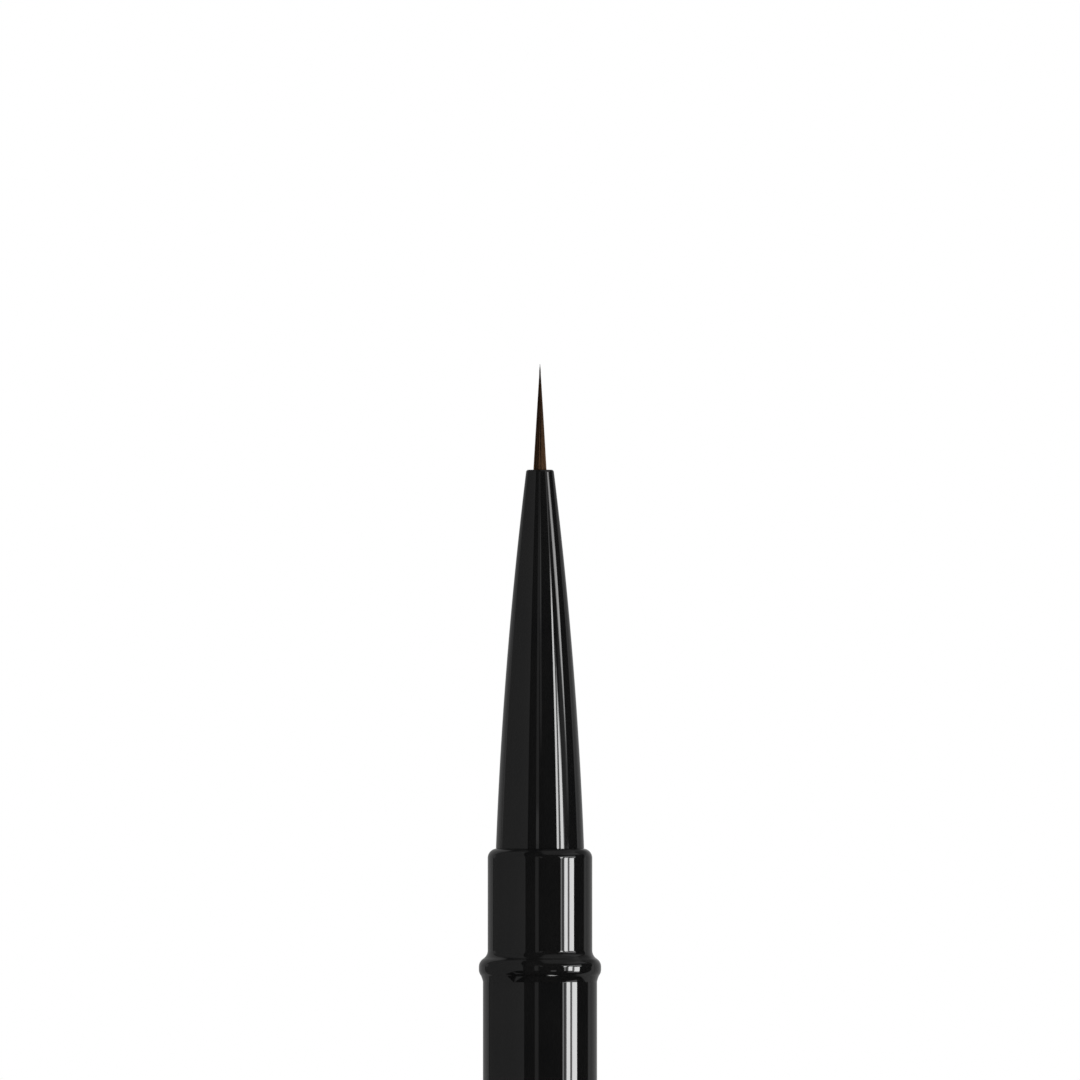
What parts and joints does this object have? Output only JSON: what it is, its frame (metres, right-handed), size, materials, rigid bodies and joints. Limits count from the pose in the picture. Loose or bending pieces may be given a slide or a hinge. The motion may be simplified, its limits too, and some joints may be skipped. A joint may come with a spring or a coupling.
{
  "type": "fine detail brush",
  "caption": "Fine detail paint brush with a short pointed hair tuft, a long tapered nose, a collar with a stop bead, a slim round handle and a push-on cap posted on its tail.",
  "frame": {"origin": "centre of the flat closed end of the cap, which is posted on the brush's tail", "axes": "+Z along the brush towards the tip of the hair; the brush is turned about Z, so X and Y are alike, and +Y is away from the viewer of the picture"},
  "size_m": [0.0096, 0.0096, 0.1836],
  "materials": {
    "black_lacquer": "gloss",
    "brown_hair": "satin",
    "waxed_thread": "matte",
    "set_adhesive": "gloss",
    "birch": "matte",
    "liner_plastic": "satin"
  },
  "bodies": {
    "cap": {"cap_shell": "black_lacquer", "cap_liner": "liner_plastic", "cap_end_plug": "black_lacquer"},
    "handle": {"hair_root": "brown_hair", "tuft_binding": "waxed_thread", "tuft_adhesive": "set_adhesive", "ferrule": "black_lacquer", "collar_sleeve": "black_lacquer", "handle_tube": "black_lacquer", "handle_core": "birch", "tail_post": "black_lacquer"},
    "tuft": {"hair_tuft": "brown_hair"}
  },
  "joints": [
    {"name": "cap_fit", "type": "slide", "parent": "cap", "child": "handle", "axis": [0, 0, 1], "range_m": [0, 0.025]},
    {"name": "tuft_bend", "type": "hinge", "parent": "handle", "child": "tuft", "pos_m": [0, 0, 0.1758], "axis": [0, 1, 0], "range_deg": [-30, 30], "stiffness_Nm_per_rad": 0.0002}
  ]
}
